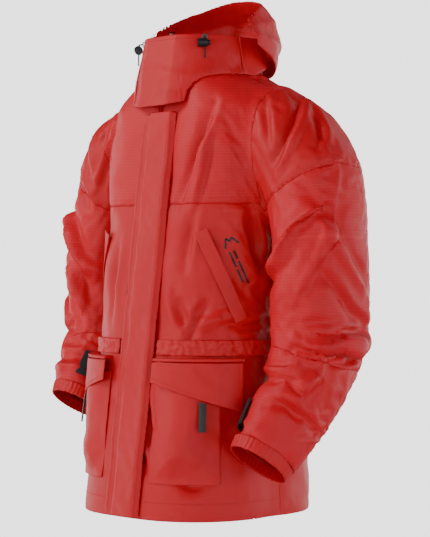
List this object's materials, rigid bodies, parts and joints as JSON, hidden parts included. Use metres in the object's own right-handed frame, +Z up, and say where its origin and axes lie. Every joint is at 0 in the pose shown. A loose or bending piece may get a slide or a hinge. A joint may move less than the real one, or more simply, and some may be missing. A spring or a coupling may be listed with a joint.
{
  "type": "hardshell jacket",
  "caption": "Hip-length hooded hardshell jacket with storm collar, zip under a placket, flapped hip pockets, yokes, gathered waist and full sleeves, shaped as worn.",
  "frame": {"origin": "centre of the neck opening at the height of the neck seam", "axes": "+Z up, front of the jacket faces -Y, the wearer's left is +X"},
  "size_m": [0.665, 0.3816, 0.9184],
  "materials": {
    "shell_fabric": "smooth woven laminate with a soft sheen",
    "ripstop_fabric": "ripstop weave with a fine raised grid",
    "trim_webbing": "woven tape",
    "hook_and_loop": "napped hook-and-loop tape",
    "zip_plastic": "moulded coil",
    "dark_metal": "blackened, semi-gloss",
    "lock_plastic": "moulded, satin",
    "pull_rubber": "moulded rubber, matt",
    "black_cord": "braided",
    "striped_lining": "woven in black and white stripes"
  },
  "bodies": {
    "shell": {"front_panel_left": "shell_fabric", "front_panel_right": "shell_fabric", "front_yoke_left": "ripstop_fabric", "front_yoke_right": "ripstop_fabric", "back_panel": "shell_fabric", "back_yoke": "ripstop_fabric", "shoulder_cap_left": "shell_fabric", "shoulder_cap_right": "shell_fabric", "stand_collar": "shell_fabric", "storm_collar": "shell_fabric", "hanger_loop": "trim_webbing", "zip_tape_left": "trim_webbing", "zip_tape_right": "trim_webbing", "zip_coil_left": "zip_plastic", "zip_coil_right": "zip_plastic", "zip_box": "zip_plastic", "placket_loops": "hook_and_loop", "waist_casing": "shell_fabric", "waist_drawcord": "trim_webbing", "hem_facing": "shell_fabric", "rear_pocket": "shell_fabric", "chest_welt_left": "shell_fabric", "chest_welt_right": "shell_fabric", "pocket_bag_left": "shell_fabric", "pocket_bag_right": "shell_fabric", "pocket_header_left": "shell_fabric", "pocket_header_right": "shell_fabric", "cord_lock_right": "lock_plastic", "lock_spring_right": "dark_metal", "eyelet_right": "dark_metal", "lock_cord_right": "black_cord"},
    "placket": {"placket": "shell_fabric", "placket_hooks": "hook_and_loop"},
    "zip_slider": {"zip_slider": "dark_metal"},
    "zip_pull": {"zip_pull": "dark_metal"},
    "chin_guard": {"chin_guard": "shell_fabric", "cord_lock_left": "lock_plastic", "lock_spring_left": "dark_metal", "eyelet_left": "dark_metal", "lock_cord_left": "black_cord"},
    "hood": {"hood_shell": "shell_fabric", "hood_brim": "shell_fabric", "hood_stripe": "striped_lining"},
    "upper_sleeve_left": {"upper_sleeve_left": "ripstop_fabric"},
    "forearm_left": {"forearm_left": "ripstop_fabric", "cuff_left": "shell_fabric", "cuff_landing_left": "hook_and_loop"},
    "cuff_tab_left": {"cuff_tab_left": "hook_and_loop"},
    "pocket_flap_left": {"pocket_flap_left": "shell_fabric"},
    "flap_pull_left": {"flap_pull_left": "pull_rubber"},
    "lock_plunger_left": {"lock_plunger_left": "lock_plastic"},
    "upper_sleeve_right": {"upper_sleeve_right": "ripstop_fabric"},
    "forearm_right": {"forearm_right": "ripstop_fabric", "cuff_right": "shell_fabric", "cuff_landing_right": "hook_and_loop"},
    "cuff_tab_right": {"cuff_tab_right": "hook_and_loop"},
    "pocket_flap_right": {"pocket_flap_right": "shell_fabric"},
    "flap_pull_right": {"flap_pull_right": "pull_rubber"},
    "lock_plunger_right": {"lock_plunger_right": "lock_plastic"}
  },
  "joints": [
    {"name": "placket_hinge", "type": "hinge", "parent": "shell", "child": "placket", "pos_m": [0.046, -0.17098, -0.39976], "axis": [0, 0.1318, 0.9913], "range_deg": [0, 90]},
    {"name": "zip_slide", "type": "slide", "parent": "shell", "child": "zip_slider", "axis": [0, -0.1318, -0.9913], "range_m": [0, 0.7976]},
    {"name": "zip_pull_hinge", "type": "hinge", "parent": "zip_slider", "child": "zip_pull", "pos_m": [0, -0.11726, 0.0368], "axis": [-1, 0, 0], "range_deg": [0, 8]},
    {"name": "chin_guard_hinge", "type": "hinge", "parent": "shell", "child": "chin_guard", "pos_m": [0.108, -0.025, 0], "axis": [0, 0, 1], "range_deg": [0, 80]},
    {"name": "hood_hinge", "type": "hinge", "parent": "shell", "child": "hood", "pos_m": [0, -0.074, 0.066], "axis": [1, 0, 0], "range_deg": [0, 50]},
    {"name": "sleeve_raise_left", "type": "hinge", "parent": "shell", "child": "upper_sleeve_left", "pos_m": [0.33, 0, -0.166], "axis": [0, -1, 0], "range_deg": [0, 35]},
    {"name": "elbow_left", "type": "hinge", "parent": "upper_sleeve_left", "child": "forearm_left", "pos_m": [0.25876, -0.0967, -0.4621], "axis": [-0.998, 0, 0.063], "range_deg": [0, 12]},
    {"name": "flap_hinge_left", "type": "hinge", "parent": "shell", "child": "pocket_flap_left", "pos_m": [0.13046, -0.1781, -0.5066], "axis": [-0.809, -0.5878, 0], "range_deg": [0, 95]},
    {"name": "flap_pull_hinge_left", "type": "hinge", "parent": "pocket_flap_left", "child": "flap_pull_left", "pos_m": [0.14966, -0.1688, -0.57078], "axis": [-0.809, -0.5878, 0], "range_deg": [0, 90]},
    {"name": "cuff_tab_hinge_left", "type": "hinge", "parent": "forearm_left", "child": "cuff_tab_left", "pos_m": [0.18642, -0.10994, -0.6004], "axis": [-0.1206, -0.5827, -0.8037], "range_deg": [0, 20]},
    {"name": "lock_plunger_left", "type": "slide", "parent": "chin_guard", "child": "lock_plunger_left", "axis": [-0.6947, -0.7193, 0], "range_m": [0, 0.0035], "stiffness_N_per_m": 300, "springref_m": -0.004},
    {"name": "sleeve_raise_right", "type": "hinge", "parent": "shell", "child": "upper_sleeve_right", "pos_m": [-0.33, 0, -0.166], "axis": [0, 1, 0], "range_deg": [0, 35]},
    {"name": "elbow_right", "type": "hinge", "parent": "upper_sleeve_right", "child": "forearm_right", "pos_m": [-0.262, -0.09782, -0.4489], "axis": [-1, 0, 0], "range_deg": [0, 20]},
    {"name": "flap_hinge_right", "type": "hinge", "parent": "shell", "child": "pocket_flap_right", "pos_m": [-0.13046, -0.1781, -0.5066], "axis": [-0.809, 0.5878, 0], "range_deg": [0, 95]},
    {"name": "flap_pull_hinge_right", "type": "hinge", "parent": "pocket_flap_right", "child": "flap_pull_right", "pos_m": [-0.14966, -0.1688, -0.57078], "axis": [-0.809, 0.5878, 0], "range_deg": [0, 90]},
    {"name": "cuff_tab_hinge_right", "type": "hinge", "parent": "forearm_right", "child": "cuff_tab_right", "pos_m": [-0.19384, -0.08091, -0.54128], "axis": [0.0401, 0.5214, 0.8523], "range_deg": [0, 30]},
    {"name": "lock_plunger_right", "type": "slide", "parent": "shell", "child": "lock_plunger_right", "axis": [0.6947, -0.7193, 0], "range_m": [0, 0.0035], "stiffness_N_per_m": 300, "springref_m": -0.004}
  ]
}
